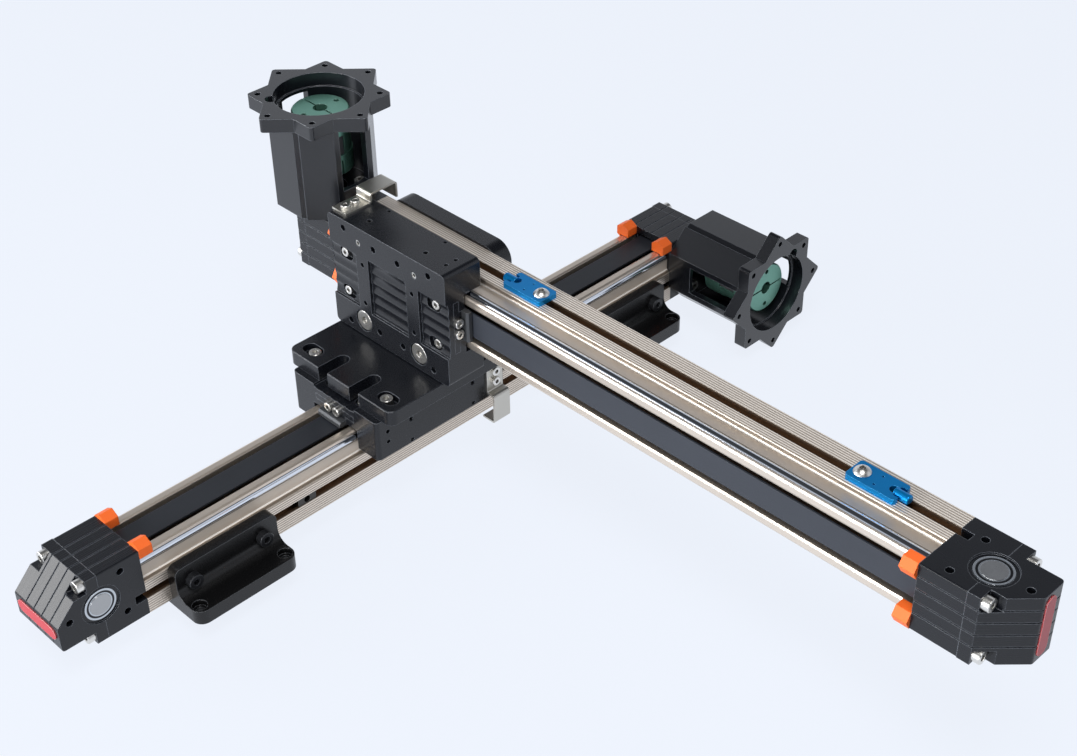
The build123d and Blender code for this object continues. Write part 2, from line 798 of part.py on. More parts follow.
def cross_upright():
    body = block(upright_shift - plate_half, upright_shift + plate_half,
                 upper_back, upright_back, plate_top, upright_top)
    body = fillet(body.edges().filter_by(Axis.Y).group_by(Axis.Z)[-1], upright_corner)
    for x in (-upright_screw_x, upright_screw_x):
        body -= along_z(m4, plate_top - 1, plate_top + 12, x, upper_back + upright_thickness / 2)
    for x in (-upright_screw_x, 0, upright_screw_x):
        body -= along_y(m4, upper_back - 1, upright_back + 1, x, upper_level)
        body -= along_y(m4_head + 0.4, upright_back - upright_seat, upright_back + 1, x, upper_level)
    return body


def cross_screws():
    pieces = []
    for side in (-1, 1):
        for y in (plate_front_y, plate_rear_y):
            screw = socket_screw(m4, 4.5 + 9, m4_head, m4_head_length)
            pieces.append(Pos(side * plate_screw_x, y, plate_top - 4.5) * screw)
        screw = Rot(180, 0, 0) * socket_screw(m4, 4.4 + 10, m4_head, m4_head_length)
        y = upper_back + upright_thickness / 2
        pieces.append(Pos(side * upright_screw_x, y, plate_low + 4.6) * screw)
    for x in (-upright_screw_x, 0, upright_screw_x):
        length = upright_thickness - upright_seat + 5.4
        screw = Rot(-90, 0, 0) * socket_screw(m4, length, m4_head, m4_head_length)
        pieces.append(Pos(x, upright_back - upright_seat, upper_level) * screw)
    return pieces


def slot_nut(length=nut_length):
    # lies in a slot that opens towards +z, its neck reaching to the mouth
    depth = slot_bottom_depth - slot_lip
    nut = block(-length / 2, length / 2, -slot_inner / 2 + 0.2, slot_inner / 2 - 0.2,
                -slot_lip - depth + 0.4, -slot_lip)
    nut += block(-length / 2, length / 2, -slot_mouth / 2 + 0.15, slot_mouth / 2 - 0.15,
                 -slot_lip, -0.4)
    return nut - along_z(m4, -10, 1, 0, 0)


def on_side(shape, side):
    # from a slot frame (x along the beam, z outward) to a side slot of the lower module
    turned = Rot(0, 0, 90) * shape
    return Rot(0, 90 * side, 0) * turned


def foot():
    under = beam_half - foot_ledge
    face = outline([
        (under, 0), (foot_reach, 0), (foot_reach, foot_base), (foot_web, foot_base),
        (foot_web, foot_top), (beam_half, foot_top), (beam_half, foot_lift), (under, foot_lift),
    ])
    root = face.vertices().filter_by(
        lambda v: abs(v.X - foot_web) < 0.01 and abs(v.Y - foot_base) < 0.01
    )
    face = fillet(root, 7.0)
    body = section_y(face, -foot_length / 2, foot_length / 2)
    outer = body.edges().filter_by(Axis.Z).filter_by(
        lambda e: abs(e.center().X - foot_reach) < 0.01
    )
    body = fillet(outer, 6.0)
    top = body.edges().filter_by(Axis.X).filter_by(
        lambda e: abs(e.center().Z - foot_top) < 0.01
    )
    body = fillet(top, 4.0)
    for side in (-1, 1):
        level = foot_lift + slot_side_height
        body -= along_x(m4, beam_half - 1, foot_web + 1, side * foot_bolt_pitch, level)
        body -= along_x(m5_head + 0.35, foot_web, foot_web + 8, side * foot_bolt_pitch, level)
        body -= along_z(foot_hole, -1, foot_base + 1, foot_hole_x, side * foot_hole_pitch)
        body -= along_z(foot_hole_head, foot_base - 3.5, foot_base + 12,
                        foot_hole_x, side * foot_hole_pitch)
    return body


def feet():
    first = foot()
    pieces = []
    for y in (-foot_centre, foot_centre):
        pieces += [Pos(0, y, 0) * first, Pos(0, y, 0) * Rot(0, 0, 180) * first]
    return pieces


def foot_bolts():
    pieces = []
    level = foot_lift + slot_side_height
    for centre in (-foot_centre, foot_centre):
        for step in (-foot_bolt_pitch, foot_bolt_pitch):
            for side in (-1, 1):
                bolt = Rot(0, 90 * side, 0) * socket_screw(m4, foot_web - beam_half + 5, m5_head, 4.0)
                pieces.append(Pos(side * foot_web, centre + step, level) * bolt)
    return pieces


def lower_slot_nuts():
    pieces = []
    level = foot_lift + slot_side_height
    for side in (-1, 1):
        for centre in (-foot_centre, foot_centre):
            for step in (-foot_bolt_pitch, foot_bolt_pitch):
                pieces.append(Pos(side * beam_half, centre + step, level) * on_side(slot_nut(), side))
    pieces.append(Pos(beam_half, loose_nut_y, level) * on_side(slot_nut(), 1))
    return pieces


slot_level_upper = upper_back - slot_side_height
arm_start = upper_middle - half_length
sensor_seats = (
    Pos(arm_start + sensor_near, slot_level_upper, upper_level + beam_half),
    Pos(arm_start + beam_length - sensor_far, slot_level_upper,
        upper_level + beam_half) * Rot(0, 0, 180),
)


def upper_slot_nuts():
    pieces = []
    for x in (-upright_screw_x, 0, upright_screw_x):
        nut = Rot(-90, 0, 0) * slot_nut()
        pieces.append(Pos(x, upper_back, upper_level) * nut)
    for place in sensor_seats:
        pieces.append(place * Pos(sensor_screw_x, 0, 0) * slot_nut(sensor_nut))
    return pieces


def sensor_plate():
    end = sensor_length / 2
    width, height = sensor_width, sensor_height
    plate = block(-end, end, -width / 2, width / 2, 0, height)
    plate = fillet(plate.edges().filter_by(Axis.Z), 1.6)
    plate -= along_z(sensor_screw, -1, height + 1, sensor_screw_x, 0)
    plate -= along_z(sensor_hole, -1, height + 1, -sensor_hole_x, 0)
    for side in (-1, 1):
        plate -= along_z(sensor_pin, -1, height + 1, -sensor_pin_x, side * sensor_pin_y)
    plate -= block(-end - 1, sensor_notch_depth - end, -sensor_notch_half, sensor_notch_half,
                   -1, height + 1)
    nose = along_x(sensor_nose, -end - sensor_nose_reach, sensor_notch_depth + 1 - end,
                   0, height / 2)
    nose = fillet(nose.edges().filter_by(GeomType.CIRCLE).group_by(Axis.X)[0], 0.8)
    return plate + (nose & block(-end - 9, end, -width, width, 0, 9))


def sensor_plates():
    return [place * sensor_plate() for place in sensor_seats]


def sensor_screws():
    screw = button_screw(sensor_screw, sensor_screw_length, sensor_screw_head, sensor_screw_rise)
    return [place * Pos(sensor_screw_x, 0, sensor_height) * screw for place in sensor_seats]


def keep(name, shapes, place=None):
    shapes = shapes if isinstance(shapes, list) else [shapes]
    if place is not None:
        shapes = [place * shape for shape in shapes]
    export_step(solids_of(*shapes), f"parts/{name}.step")


for prefix, place, centre, flag_centre in (
    ("lower", lower, lower_carriage_centre, flag_centre_lower),
    ("upper", upper, upper_carriage_centre, flag_centre_upper),
):
    ride = place * Pos(0, centre, 0)
    keep(f"{prefix}_beam", beam(), place)
    keep(f"{prefix}_guide_rods", guide_rods(), place)
    keep(f"{prefix}_belt", belt(), place)
    drive_housing, idler_housing = both_ends(housing())
    keep(f"{prefix}_drive_housing", drive_housing, place)
    keep(f"{prefix}_idler_housing", idler_housing, place)
    keep(f"{prefix}_end_caps", list(both_ends(cap())), place)
    keep(f"{prefix}_badge", badge(), place)
    keep(f"{prefix}_shaft_bearings", shaft_bearings(), place)
    keep(f"{prefix}_idler_pulley", idler_pulley(), place)
    keep(f"{prefix}_drive_pulley", drive_pulley(), place)
    keep(f"{prefix}_coupling_hubs", coupling_hubs(), place)
    keep(f"{prefix}_coupling_spider", coupling_spider(), place)
    keep(f"{prefix}_motor_mount", motor_mount(), place)
    keep(f"{prefix}_bumpers", bumpers(), place)
    keep(f"{prefix}_housing_screws", housing_screws(), place)
    keep(f"{prefix}_carriage", carriage(flag_centre), ride)
    keep(f"{prefix}_belt_clamps", belt_clamps(), ride)
    keep(f"{prefix}_tooth_plates", tooth_plates(), ride)
    keep(f"{prefix}_carriage_screws", carriage_screws(flag_centre), ride)
    keep(f"{prefix}_sensor_flag", sensor_flag(flag_centre), ride)
    keep(f"{prefix}_roller_studs", studs(), ride)
    number = 0
    for sx in (1, -1):
        for sy in (-1, 1):
            number += 1
            keep(f"{prefix}_roller_{number}", roller(sx, sy), ride)

keep("cross_plate", cross_plate())
keep("cross_upright", cross_upright())
keep("cross_screws", cross_screws())
keep("feet", feet())
keep("foot_bolts", foot_bolts())
keep("lower_slot_nuts", lower_slot_nuts())
keep("upper_slot_nuts", upper_slot_nuts())
keep("sensor_plates", sensor_plates())
keep("sensor_screws", sensor_screws())
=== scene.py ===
import bpy
import bmesh
import math
from mathutils import Matrix, Vector

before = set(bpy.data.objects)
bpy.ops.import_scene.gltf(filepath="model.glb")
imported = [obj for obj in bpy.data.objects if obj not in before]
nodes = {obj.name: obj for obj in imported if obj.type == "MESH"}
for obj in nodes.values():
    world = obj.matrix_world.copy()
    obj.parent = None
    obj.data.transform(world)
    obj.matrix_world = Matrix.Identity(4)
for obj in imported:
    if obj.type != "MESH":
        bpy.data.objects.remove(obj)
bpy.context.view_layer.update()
mm = 0.001
print("frame loaded")


def linear(hexColour, strength=1.0):
    # sRGB hex to linear light
    out = []
    for place in (0, 2, 4):
        value = int(hexColour[place:place + 2], 16) / 255
        light = value / 12.92 if value <= 0.04045 else ((value + 0.055) / 1.055) ** 2.4
        out.append(light * strength)
    return (*out, 1.0)


def addNode(tree, kind, settings=None, links=None):
    # a setting goes to the socket of that name or number, or else to the node itself
    node = tree.nodes.new(kind)
    for name, value in (settings or {}).items():
        if isinstance(name, str) and name not in node.inputs:
            setattr(node, name, value)
        else:
            node.inputs[name].default_value = value
    for name, source in (links or {}).items():
        tree.links.new(source, node.inputs[name])
    return node


def newMaterial(name):
    # an empty material, its node tree, and the place on the object in metres
    material = bpy.data.materials.new(name)
    material.use_nodes = True
    tree = material.node_tree
    tree.nodes.clear()
    place = addNode(tree, "ShaderNodeTexCoord").outputs["Object"]
    return material, tree, place


def paint(material, *names):
    for name in names:
        slots = nodes[name].data.materials
        slots.clear()
        slots.append(material)


# camera

cameraView = {
    "place": (0.626551, -0.506849, 0.633902),
    "right": (0.70266169, 0.71137198, -0.01471274),
    "forward": (-0.57655499, 0.55713473, -0.59764976),
    "lens": 59.475,
    "sensor": 36,
    "clip": (0.01, 20),
}
right = Vector(cameraView["right"]).normalized()
back = -Vector(cameraView["forward"]).normalized()
up = back.cross(right).normalized()
turn = Matrix((right, up, back)).transposed().to_4x4()
cameraData = bpy.data.cameras.new("camera")
cameraData.lens = cameraView["lens"]
cameraData.sensor_width = cameraView["sensor"]
cameraData.clip_start, cameraData.clip_end = cameraView["clip"]
camera = bpy.data.objects.new("camera", cameraData)
camera.matrix_world = Matrix.Translation(cameraView["place"]) @ turn
bpy.context.scene.collection.objects.link(camera)
bpy.context.scene.camera = camera
bpy.context.scene.view_settings.view_transform = "Standard"


# room, lamps and floor

background = "EDF2FB"
room = {
    "colour": "DADEE6",
    "wall": 1.0,  # strength of the walls and of the ceiling
    "ceiling": 0.08,
    "wallTop": (0.52, 0.76),  # heights of a direction, where the wall ends and the ceiling starts
    "sides": (-0.7, 0.9),  # left and right part of a direction, and the share of light from each
    "sideShare": (1.05, 0.2),
    "windowAim": (0.76, 0.557, 0.338),
    "windowReach": (0.86, 0.93),  # nearness to that aim, where the window starts and is full
    "window": 0.95,
}
world = bpy.data.worlds.new("studio")
bpy.context.scene.world = world
world.use_nodes = True
tree = world.node_tree
tree.nodes.clear()
# the room has bright walls, a dim ceiling, a brighter left side and a window on the right
direction = addNode(tree, "ShaderNodeTexCoord").outputs["Generated"]
directionParts = addNode(tree, "ShaderNodeSeparateXYZ", {}, {0: direction}).outputs
wallLight = addNode(tree, "ShaderNodeMapRange", {
    "interpolation_type": "SMOOTHSTEP",
    "From Min": room["wallTop"][0], "From Max": room["wallTop"][1],
    "To Min": room["wall"], "To Max": room["ceiling"],
}, {"Value": directionParts["Z"]})
sideLight = addNode(tree, "ShaderNodeMapRange", {
    "From Min": room["sides"][0], "From Max": room["sides"][1],
    "To Min": room["sideShare"][0], "To Max": room["sideShare"][1],
}, {"Value": directionParts["X"]})
walls = addNode(tree, "ShaderNodeMath", {"operation": "MULTIPLY"},
                {0: wallLight.outputs[0], 1: sideLight.outputs[0]})
towardsWindow = addNode(tree, "ShaderNodeVectorMath", {
    "operation": "DOT_PRODUCT", 1: Vector(room["windowAim"]).normalized()}, {0: direction})
window = addNode(tree, "ShaderNodeMapRange", {
    "interpolation_type": "SMOOTHSTEP",
    "From Min": room["windowReach"][0], "From Max": room["windowReach"][1],
    "To Min": 0.0, "To Max": room["window"],
}, {"Value": towardsWindow.outputs["Value"]})
roomLevel = addNode(tree, "ShaderNodeMath", {"operation": "MAXIMUM"},
                    {0: walls.outputs[0], 1: window.outputs[0]})
roomLight = addNode(tree, "ShaderNodeBackground", {"Color": linear(room["colour"])},
                    {"Strength": roomLevel.outputs[0]})
backdrop = addNode(tree, "ShaderNodeBackground", {"Color": linear(background), "Strength": 1.0})
seen = addNode(tree, "ShaderNodeLightPath").outputs["Is Camera Ray"]
sky = addNode(tree, "ShaderNodeMixShader", {},
              {0: seen, 1: roomLight.outputs[0], 2: backdrop.outputs[0]})
addNode(tree, "ShaderNodeOutputWorld", {}, {"Surface": sky.outputs[0]})

lamps = {
    # name: place, aim, size, watts
    "keySoftbox": ((-1.03, -1.22, 0.5), (0.0, -0.2, 0.05), (0.8, 0.7), 13),
    "frontFill": ((0.2, -1.8, 0.5), (0.1, 0, 0.08), (1.2, 0.5), 24),
    "topSoftbox": ((0.6, -0.5, 1.6), (0.1, 0, 0.05), (0.7, 0.7), 16),
}
for lampName, (lampPlace, aim, size, watts) in lamps.items():
    lampData = bpy.data.lights.new(lampName, "AREA")
    lampData.shape = "RECTANGLE"
    lampData.size, lampData.size_y = size
    lampData.energy = watts
    lamp = bpy.data.objects.new(lampName, lampData)
    away = Vector(lampPlace) - Vector(aim)
    turn = away.to_track_quat("Z", "Y").to_matrix().to_4x4()
    lamp.matrix_world = Matrix.Translation(lampPlace) @ turn
    bpy.context.scene.collection.objects.link(lamp)

floorLook = {
    "half": 6,
    "level": -13.6 * mm,  # the lower motor flange stands on it
    "cloth": "AAB0BC",
    "glow": 1.11,
    "shadow": 0.15,  # share of the cloth, which takes the shadows, in what is seen
}
floorMesh = bmesh.new()
bmesh.ops.create_grid(floorMesh, x_segments=1, y_segments=1, size=floorLook["half"])
bmesh.ops.translate(floorMesh, vec=(0, 0, floorLook["level"]), verts=floorMesh.verts)
floorData = bpy.data.meshes.new("floor")
floorMesh.to_mesh(floorData)
floorMesh.free()
floor = bpy.data.objects.new("floor", floorData)
bpy.context.scene.collection.objects.link(floor)
floorMaterial, tree, place = newMaterial("paleFloor")
cloth = addNode(tree, "ShaderNodeBsdfDiffuse", {"Color": linear(floorLook["cloth"])})
glow = addNode(tree, "ShaderNodeEmission",
               {"Color": linear(background), "Strength": floorLook["glow"]})
path = addNode(tree, "ShaderNodeLightPath").outputs
viewed = addNode(tree, "ShaderNodeMath", {"operation": "MAXIMUM"},
                 {0: path["Is Camera Ray"], 1: path["Is Glossy Ray"]})
shown = addNode(tree, "ShaderNodeMath", {"operation": "MAXIMUM"},
                {0: viewed.outputs[0], 1: path["Is Transmission Ray"]})
share = addNode(tree, "ShaderNodeMath", {"operation": "MULTIPLY", 1: 1 - floorLook["shadow"]},
                {0: shown.outputs[0]})
pale = addNode(tree, "ShaderNodeMixShader", {},
               {0: share.outputs[0], 1: cloth.outputs[0], 2: glow.outputs[0]})
addNode(tree, "ShaderNodeOutputMaterial", {}, {"Surface": pale.outputs[0]})
floorData.materials.append(floorMaterial)
print("camera, light and floor made")


# surfaces; all lengths in mm

surfaceDetail = {
    "grainDetail": 3.0,
    "grainSpan": (0.3, 0.7),  # part of the noise's range that the roughness follows
    "cloudSize": 24,  # length over which the colour drifts, and how far it drifts
    "cloudDetail": 2.0,
    "drift": (0.92, 1.08),
    "edgeTintTurn": (0.98, 0.86),  # cosine of an edge's turn, where the lighter edge tint starts and is full
    "bumpDepth": 0.02,
}


def finish(name, look, pattern=None):
    # machined or moulded surface: grain in roughness and bump, and softened edges tinted a lighter
    # colour; on the beams that tint is a painted highlight
    material, tree, place = newMaterial(name)
    grainPlace = addNode(tree, "ShaderNodeMapping", {
        "Scale": [1 / (length * mm) for length in look["grain"]]}, {"Vector": place})
    grain = addNode(tree, "ShaderNodeTexNoise", {
        "Scale": 1.0, "Detail": surfaceDetail["grainDetail"]}, {"Vector": grainPlace.outputs[0]})
    cloud = addNode(tree, "ShaderNodeTexNoise", {
        "Scale": 1 / (surfaceDetail["cloudSize"] * mm), "Detail": surfaceDetail["cloudDetail"],
    }, {"Vector": place})
    rough = addNode(tree, "ShaderNodeMapRange", {
        "From Min": surfaceDetail["grainSpan"][0], "From Max": surfaceDetail["grainSpan"][1],
        "To Min": look["rough"] - look["vary"], "To Max": look["rough"] + look["vary"],
    }, {"Value": grain.outputs["Fac"]})
    tone = addNode(tree, "ShaderNodeMix", {
        "data_type": "RGBA",
        6: linear(look["colour"], surfaceDetail["drift"][0]),
        7: linear(look["colour"], surfaceDetail["drift"][1]),
    }, {0: cloud.outputs["Fac"]})
    soft = addNode(tree, "ShaderNodeBevel", {"samples": 6, "Radius": look["edge"] * mm})
    flat = addNode(tree, "ShaderNodeNewGeometry").outputs["Normal"]
    edgeTurn = addNode(tree, "ShaderNodeVectorMath", {"operation": "DOT_PRODUCT"},
                       {0: soft.outputs[0], 1: flat})
    # edge tint: real wear on most finishes, a rim on the badge, and a painted highlight on the
    # champagne beams
    tintedEdge = addNode(tree, "ShaderNodeMapRange", {
        "From Min": surfaceDetail["edgeTintTurn"][0], "From Max": surfaceDetail["edgeTintTurn"][1],
        "To Min": 0.0, "To Max": look["edgeTint"],
    }, {"Value": edgeTurn.outputs["Value"]})
    edged = addNode(tree, "ShaderNodeMix", {"data_type": "RGBA", 7: linear(look["edgeTintColour"])},
                    {0: tintedEdge.outputs[0], 6: tone.outputs[2]})
    bump = addNode(tree, "ShaderNodeBump", {
        "Strength": look["bump"], "Distance": surfaceDetail["bumpDepth"] * mm,
    }, {"Height": grain.outputs["Fac"], "Normal": soft.outputs[0]})
    parts = {"tree": tree, "place": place, "colour": edged.outputs[2],
             "normal": bump.outputs[0], "rough": rough.outputs[0]}
    if pattern:
        pattern(parts)
    links = {"Base Color": parts["colour"], "Roughness": parts["rough"],
             "Normal": parts["normal"]}
    if "metallic" in parts:
        links["Metallic"] = parts["metallic"]
    surface = addNode(tree, "ShaderNodeBsdfPrincipled", {
        "Metallic": look["metallic"], "IOR": look.get("ior", 1.5)}, links)
    addNode(tree, "ShaderNodeOutputMaterial", {}, {"Surface": surface.outputs[0]})
    return material


modules = {
    # along: axis of the beam, across: axis of its shafts, up and sense: where its belt side faces
    # middle: the point midway between its two shafts
    "lower": {"along": "Y", "across": "X", "up": "Z", "sense": 1, "middle": (0, 0, 26.56)},
    "upper": {"along": "X", "across": "Z", "up": "Y", "sense": -1, "middle": (142, 12.84, 99)},
}
shaftReach = 221.0  # from that point to each shaft
shaftHeight = 22.56  # of the shafts above the beam's underside


def localAxes(parts, side):
    # along, across and up from the middle between the module's two shafts
    tree, module = parts["tree"], modules[side]
    moved = addNode(tree, "ShaderNodeVectorMath", {
        "operation": "SUBTRACT", 1: [value * mm for value in module["middle"]],
    }, {0: parts["place"]})
    split = addNode(tree, "ShaderNodeSeparateXYZ", {}, {0: moved.outputs[0]}).outputs
    return [split[module[way]] for way in ("along", "across", "up")]


# the beam's flat side bands are finely ribbed along their length
# the real ribs are 1.0 mm apart; they are drawn 1.49 mm apart so that they show
# each rib's groove gets painted shade and its top a painted highlight, besides a shallow bump
ribs = {"bandReach": 19.2, "pitch": 1.4875, "start": 9.04, "depth": 0.1,
        "low": (-1.0, -0.2), "ribShadeShare": 0.65, "ribShadeColour": "665A4E", "high": (-0.2, 0.5)}
beamStrips = {
    # name: height above the underside and half of it, reach from the middle and half of it
    # painted shade: the two slot strips mark where the T-slots are darkened
    "slotSide": (12.25, 4.7, 9.5, 9.5),
    "slotUnder": (3.16, 2.6, 2.35, 2.35),
    "neckWall": (26.2, 5.2, 15.8, 1.3),
    # painted shade along a fine line high on the neck and along the shoulder step
    "neckShadeLine": (28.8, 0.45, 15.8, 1.3),
    "shoulderShade": (20.9, 0.3, 17.6, 0.95),
    # painted highlight along the root of the neck
    "rootHighlightLine": (21.4, 0.3, 15.8, 1.3),
}
beamLook = {
    # anodised extrusion: a warm satin metal with die lines drawn along it, and bright edges, partly
    # from their softened normal and partly a painted highlight in their colour
    "colour": "D8CBBC", "rough": 0.38, "vary": 0.04, "bump": 0.08, "edge": 0.3,
    # painted highlight: the edge tint here is a near-white line along every edge
    "edgeTint": 0.8, "edgeTintColour": "FFFAF2", "metallic": 0.92,
    # painted shade in the slots and along two fine lines, and a painted highlight along the neck's
    # root
    "slotShadeColour": "A48C76", "lineShadeColour": "3E362E", "lineShadeShare": 0.6, "rootHighlightColour": "FFFAF2",
    "sides": {
        # the neck's wall: how much rougher and how metallic; the painted highlight on the ribs'
        # tops; the bands' metallic
        "lower": {"grain": (0.3, 40, 0.3), "neckRough": 0.24, "neckMetal": 0.4,
                  "ribHighlight": "EBE0D3", "bandMetal": 0.92},
        "upper": {"grain": (40, 0.3, 0.3), "neckRough": 0.05, "neckMetal": 0.9,
                  "ribHighlight": "FFF6EC", "bandMetal": 0.5},
    },
}


def beamSection(side):
    # ribs on the bands with painted shade between them and a painted highlight on their tops,
    # painted shade in the slots and along the lines of the neck and of the step under it, and a
    # painted highlight along the neck's root
    sideLook = beamLook["sides"][side]

    def pattern(parts):
        tree = parts["tree"]
        along, across, up = localAxes(parts, side)
        reach = addNode(tree, "ShaderNodeMath", {"operation": "ABSOLUTE"}, {0: across})
        height = addNode(tree, "ShaderNodeMath", {
            "operation": "MULTIPLY_ADD", 1: modules[side]["sense"], 2: shaftHeight * mm}, {0: up})
        inside = {}
        for name, (level, halfLevel, middle, halfWidth) in beamStrips.items():
            atLevel = addNode(tree, "ShaderNodeMath", {
                "operation": "COMPARE", 1: level * mm, 2: halfLevel * mm}, {0: height.outputs[0]})
            atReach = addNode(tree, "ShaderNodeMath", {
                "operation": "COMPARE", 1: middle * mm, 2: halfWidth * mm}, {0: reach.outputs[0]})
            inside[name] = addNode(tree, "ShaderNodeMath", {"operation": "MULTIPLY"},
                                   {0: atLevel.outputs[0], 1: atReach.outputs[0]}).outputs[0]
        # painted shade inside the T-slots
        slots = addNode(tree, "ShaderNodeMath", {"operation": "MAXIMUM"},
                        {0: inside["slotSide"], 1: inside["slotUnder"]})
        # painted shade along the neck line and the shoulder step
        lines = addNode(tree, "ShaderNodeMath", {"operation": "MAXIMUM"},
                        {0: inside["neckShadeLine"], 1: inside["shoulderShade"]})
        lineShadeShare = addNode(tree, "ShaderNodeMath", {
            "operation": "MULTIPLY", 1: beamLook["lineShadeShare"]}, {0: lines.outputs[0]})
        band = addNode(tree, "ShaderNodeMath", {
            "operation": "GREATER_THAN", 1: ribs["bandReach"] * mm}, {0: reach.outputs[0]})
        turnsPerLength = 2 * math.pi / (ribs["pitch"] * mm)
        turns = addNode(tree, "ShaderNodeMath", {
            "operation": "MULTIPLY_ADD", 1: turnsPerLength, 2: -ribs["start"] * mm * turnsPerLength,
        }, {0: height.outputs[0]})
        wave = addNode(tree, "ShaderNodeMath", {"operation": "COSINE"}, {0: turns.outputs[0]})
        ribHeight = addNode(tree, "ShaderNodeMath", {"operation": "MULTIPLY"},
                            {0: wave.outputs[0], 1: band.outputs[0]})
        parts["normal"] = addNode(tree, "ShaderNodeBump", {
            "Strength": 1.0, "Distance": ribs["depth"] * mm,
        }, {"Height": ribHeight.outputs[0], "Normal": parts["normal"]}).outputs[0]
        # painted shade in the rib grooves and painted highlight on the rib tops
        low = addNode(tree, "ShaderNodeMapRange", {
            "From Min": ribs["low"][0], "From Max": ribs["low"][1],
            "To Min": ribs["ribShadeShare"], "To Max": 0.0}, {"Value": ribHeight.outputs[0]})
        high = addNode(tree, "ShaderNodeMapRange", {
            "From Min": ribs["high"][0], "From Max": ribs["high"][1],
            "To Min": 0.0, "To Max": 1.0}, {"Value": ribHeight.outputs[0]})
        # layers of painted shade in rib grooves, slots and fine lines, and painted highlight on rib
        # tops and the neck's root
        layers = (
            (low.outputs[0], ribs["ribShadeColour"]),
            (high.outputs[0], sideLook["ribHighlight"]),
            (slots.outputs[0], beamLook["slotShadeColour"]),
            (lineShadeShare.outputs[0], beamLook["lineShadeColour"]),
            (inside["rootHighlightLine"], beamLook["rootHighlightColour"]),
        )
        for amount, colour in layers:
            parts["colour"] = addNode(tree, "ShaderNodeMix", {
                "data_type": "RGBA", 7: linear(colour),
            }, {0: amount, 6: parts["colour"]}).outputs[2]
        parts["rough"] = addNode(tree, "ShaderNodeMath", {
            "operation": "MULTIPLY_ADD", 1: sideLook["neckRough"],
        }, {0: inside["neckWall"], 2: parts["rough"]}).outputs[0]
        neckMetal = addNode(tree, "ShaderNodeMath", {
            "operation": "MULTIPLY_ADD", 1: sideLook["neckMetal"] - beamLook["metallic"],
            2: beamLook["metallic"]}, {0: inside["neckWall"]})
        parts["metallic"] = addNode(tree, "ShaderNodeMath", {
            "operation": "MULTIPLY_ADD", 1: sideLook["bandMetal"] - beamLook["metallic"],
        }, {0: band.outputs[0], 2: neckMetal.outputs[0]}).outputs[0]
    return pattern


# painted shade in the key sockets: how far the occlusion looks, where it starts and is full, its
# share and colour
socketShade = {"reach": 1.6, "openness": (0.75, 0.35), "share": 0.85, "colour": "2E2C2A"}
lockScrews = {"across": 31.0, "half": 3.98, "colour": "2C2D30"}


def paintedSocketShade(parts):
    # painted shade: the colour darkens in the key sockets and other closed hollows of the part,
    # where ambient occlusion finds them
    tree = parts["tree"]
    openness = addNode(tree, "ShaderNodeAmbientOcclusion", {
        "samples": 6, "only_local": True, "Distance": socketShade["reach"] * mm})
    shut = addNode(tree, "ShaderNodeMapRange", {
        "From Min": socketShade["openness"][0], "From Max": socketShade["openness"][1],
        "To Min": 0.0, "To Max": socketShade["share"]}, {"Value": openness.outputs["AO"]})
    parts["colour"] = addNode(tree, "ShaderNodeMix", {
        "data_type": "RGBA", 7: linear(socketShade["colour"]),
    }, {0: shut.outputs[0], 6: parts["colour"]}).outputs[2]


def blackLockScrews(side):
    # the small lock screws in the carriage's flank are blackened
    def pattern(parts):
        # painted shade in the key sockets first
        paintedSocketShade(parts)
        tree = parts["tree"]
        across = localAxes(parts, side)[1]
        flank = addNode(tree, "ShaderNodeMath", {
            "operation": "COMPARE", 1: lockScrews["across"] * mm, 2: lockScrews["half"] * mm,
        }, {0: across})
        parts["colour"] = addNode(tree, "ShaderNodeMix", {
            "data_type": "RGBA", 7: linear(lockScrews["colour"]),
        }, {0: flank.outputs[0], 6: parts["colour"]}).outputs[2]
    return pattern


turnedMarks = {"pitch": 0.45, "depth": 0.02, "strength": 0.5}
bearingGap = {"radius": 7.3, "half": (0.45, 0.75), "share": 0.95, "colour": "17181A"}


def turnedRings(side, gap=None):
    # tool marks turned round the shaft's axis, and the dark gap inside a bearing's outer ring
    def pattern(parts):
        tree = parts["tree"]
        along, across, up = localAxes(parts, side)
        ends = addNode(tree, "ShaderNodeMath", {"operation": "ABSOLUTE"}, {0: along})
        offset = addNode(tree, "ShaderNodeMath", {"operation": "SUBTRACT", 1: shaftReach * mm},
                         {0: ends.outputs[0]})
        pair = addNode(tree, "ShaderNodeCombineXYZ", {}, {0: offset.outputs[0], 1: up})
        radius = addNode(tree, "ShaderNodeVectorMath", {"operation": "LENGTH"},
                         {0: pair.outputs[0]}).outputs["Value"]
        turns = addNode(tree, "ShaderNodeMath", {
            "operation": "MULTIPLY", 1: 2 * math.pi / (turnedMarks["pitch"] * mm)}, {0: radius})
        wave = addNode(tree, "ShaderNodeMath", {"operation": "SINE"}, {0: turns.outputs[0]})
        parts["normal"] = addNode(tree, "ShaderNodeBump", {
            "Strength": turnedMarks["strength"], "Distance": turnedMarks["depth"] * mm,
        }, {"Height": wave.outputs[0], "Normal": parts["normal"]}).outputs[0]
        if not gap:
            return
        away = addNode(tree, "ShaderNodeMath", {
            "operation": "SUBTRACT", 1: gap["radius"] * mm}, {0: radius})
        near = addNode(tree, "ShaderNodeMath", {"operation": "ABSOLUTE"}, {0: away.outputs[0]})
        dark = addNode(tree, "ShaderNodeMapRange", {
            "From Min": gap["half"][0] * mm, "From Max": gap["half"][1] * mm,
            "To Min": gap["share"], "To Max": 0.0}, {"Value": near.outputs[0]})
        parts["colour"] = addNode(tree, "ShaderNodeMix", {
            "data_type": "RGBA", 7: linear(gap["colour"]),
        }, {0: dark.outputs[0], 6: parts["colour"]}).outputs[2]
    return pattern


# materials of both modules; grain is the length of a mark along x, y and z

